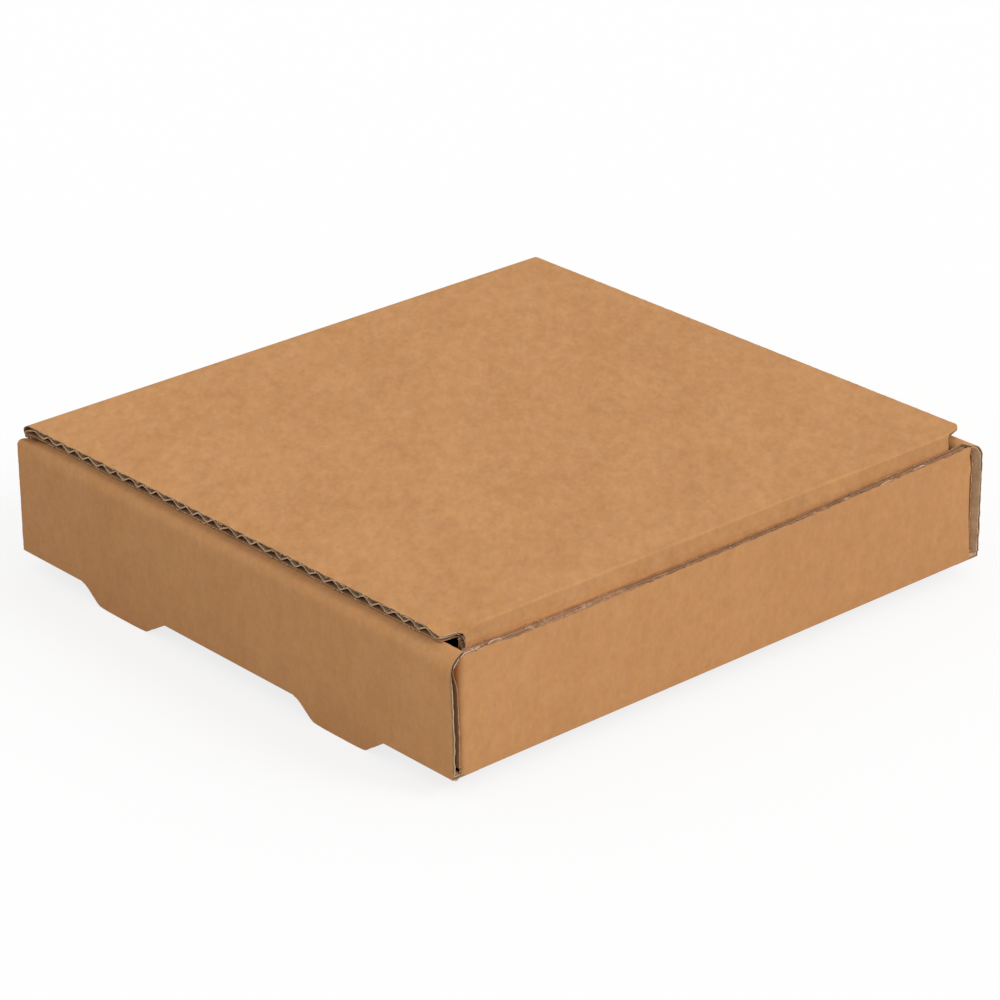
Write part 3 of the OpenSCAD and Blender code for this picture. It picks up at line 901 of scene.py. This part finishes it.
piece("lid_torn_fibres",
      edge_flecks(120, 71)
      + [shred([(3.2, 8.3, 38.7), (4.6, 8.0, 38.75), (6.8, 7.9, 38.65), (8.3, 7.7, 38.5),
                (9.0, 6.4, 38.2)], (0.05, -0.28, 0.34), 0.14, 201, FIBRE),
         shred([(9.2, 6.3, 38.3), (9.0, 5.2, 38.0), (8.6, 4.3, 37.4), (8.1, 3.6, 36.6)],
               (0.2, -0.2, 0.05), 0.12, 205, FIBRE),
         shred([(200.0, 6.1, 40.35), (201.1, 6.5, 40.5), (202.2, 6.6, 40.4)],
               (0, -0.25, 0.2), 0.12, 209, FIBRE)],
      "lid", LID_PAPERS)
piece("tray_torn_fibres",
      [shred([(4.4, 0.0, 36.6), (6.2, -0.05, 36.5), (8, 0.1, 36.5), (10.4, 0.2, 36.6)],
             (0, -0.3, 0.42), 0.14, 211, FIBRE),
       shred([(9.0, 0.0, 36.3), (11, 0.0, 36.0), (13, 0.1, 36.1)], (0, -0.1, 0.25), 0.12, 213,
             CUT_MEDIUM),
       shred([(13.4, 0.3, 36.4), (15, 0.6, 36.6), (16.6, 0.7, 36.5), (18.4, 0.4, 36.2)],
             (0, -0.15, 0.32), 0.14, 215, FIBRE),
       shred([(0.6, -0.1, 33.6), (1.5, -0.12, 35.0), (2.5, -0.1, 36.0)], (0.2, 0, -0.1), 0.12,
             217, FIBRE),
       shred([(3.5, 0.2, 35.8), (4.1, 0.1, 36.5), (4.9, 0.0, 36.8)], (0.22, 0, -0.15), 0.12,
             219, FIBRE),
       shred([(0.4, -0.05, 0.6), (1.1, -0.12, -0.15), (1.9, -0.1, -0.1), (3.0, 0.0, 0.4)],
             (0.05, 0, 0.36), 0.2, 221, CUT_MEDIUM),
       shred([(164, 0.0, 36.4), (166.5, -0.05, 36.8), (169, 0.05, 36.7)],
             (0, -0.05, 0.3), 0.12, 231, FIBRE),
       shred([(178, 0.2, 37.0), (180.5, 0.1, 37.2), (183, 0.2, 37.0)],
             (0, -0.1, 0.3), 0.12, 235, FIBRE)],
      "tray", TRAY_PAPERS)


# Camera: the angles it is turned by, its lens in pixels of the picture, and its place.
AZIMUTH, ELEVATION, ROLL = -0.7247516, 0.4306119, -0.00731555
LENS_PIXELS, IMAGE, SENSOR = 4102.52, 1000, 36
CAMERA_PLACE = (np.array([-630.3, -731.7, 526.3]) + CORNER) * MM


def camera():
    """Camera that looks down on the front left corner."""
    forward = Vector((-np.sin(AZIMUTH) * np.cos(ELEVATION),
                      np.cos(AZIMUTH) * np.cos(ELEVATION), -np.sin(ELEVATION)))
    right = Vector((np.cos(AZIMUTH), np.sin(AZIMUTH), 0))
    up = right.cross(forward)
    turned_right = right * np.cos(ROLL) + up * np.sin(ROLL)
    turned_up = up * np.cos(ROLL) - right * np.sin(ROLL)
    data = bpy.data.cameras.new("camera")
    data.sensor_width = SENSOR
    data.lens = LENS_PIXELS / IMAGE * SENSOR
    data.clip_start, data.clip_end = 0.05, 50
    obj = bpy.data.objects.new("camera", data)
    axes = Matrix([turned_right, turned_up, -forward]).transposed().to_4x4()
    obj.matrix_world = Matrix.Translation(Vector(CAMERA_PLACE)) @ axes
    bpy.context.scene.collection.objects.link(obj)
    bpy.context.scene.camera = obj


FLOOR_GREY = (0.62, 0.62, 0.62)
FLOOR_GLOW = 0.8          # share of the floor's white that doesn't depend on the light
FLOOR_SIZE = 30


def floor():
    """Pale floor: white to the camera with a soft shadow, light grey to everything else."""
    paint = Paint("floor_pale")
    seen = paint.node("ShaderNodeLightPath", {}, out="Is Camera Ray")
    body = paint.node("ShaderNodeBsdfDiffuse", {}, Color=FLOOR_GREY)
    shown = paint.node("ShaderNodeBsdfDiffuse", {}, Color=(1, 1, 1))
    glow = paint.node("ShaderNodeEmission", {}, Color=(1, 1, 1), Strength=1.0)
    shown = paint.node("ShaderNodeMixShader", {}, FLOOR_GLOW, shown, glow)
    material = paint.finish(paint.node("ShaderNodeMixShader", {}, seen, body, shown))
    mesh = bpy.data.meshes.new("floor")
    size = FLOOR_SIZE
    mesh.from_pydata([(-size, -size, 0), (size, -size, 0), (size, size, 0), (-size, size, 0)],
                     [], [(0, 1, 2, 3)])
    mesh.materials.append(material)
    obj = bpy.data.objects.new("floor", mesh)
    bpy.context.scene.collection.objects.link(obj)


SKY_STRENGTH = 0.76
SUN_STRENGTH, SUN_ANGLE = 1.15, 25
SUN_FROM = (0.42, -0.70, 0.58)


def light():
    """Even white sky and a wide soft sun from the right of the camera."""
    world = bpy.data.worlds.new("studio")
    world.use_nodes = True
    background = world.node_tree.nodes["Background"]
    background.inputs["Color"].default_value = (1, 1, 1, 1)
    background.inputs["Strength"].default_value = SKY_STRENGTH
    bpy.context.scene.world = world
    lamp = bpy.data.lights.new("soft_key", "SUN")
    lamp.energy = SUN_STRENGTH
    lamp.angle = radians(SUN_ANGLE)
    obj = bpy.data.objects.new("soft_key", lamp)
    obj.rotation_euler = Vector(SUN_FROM).to_track_quat("Z", "Y").to_euler()
    bpy.context.scene.collection.objects.link(obj)


camera()
floor()
light()
bpy.context.scene.view_settings.view_transform = "Standard"
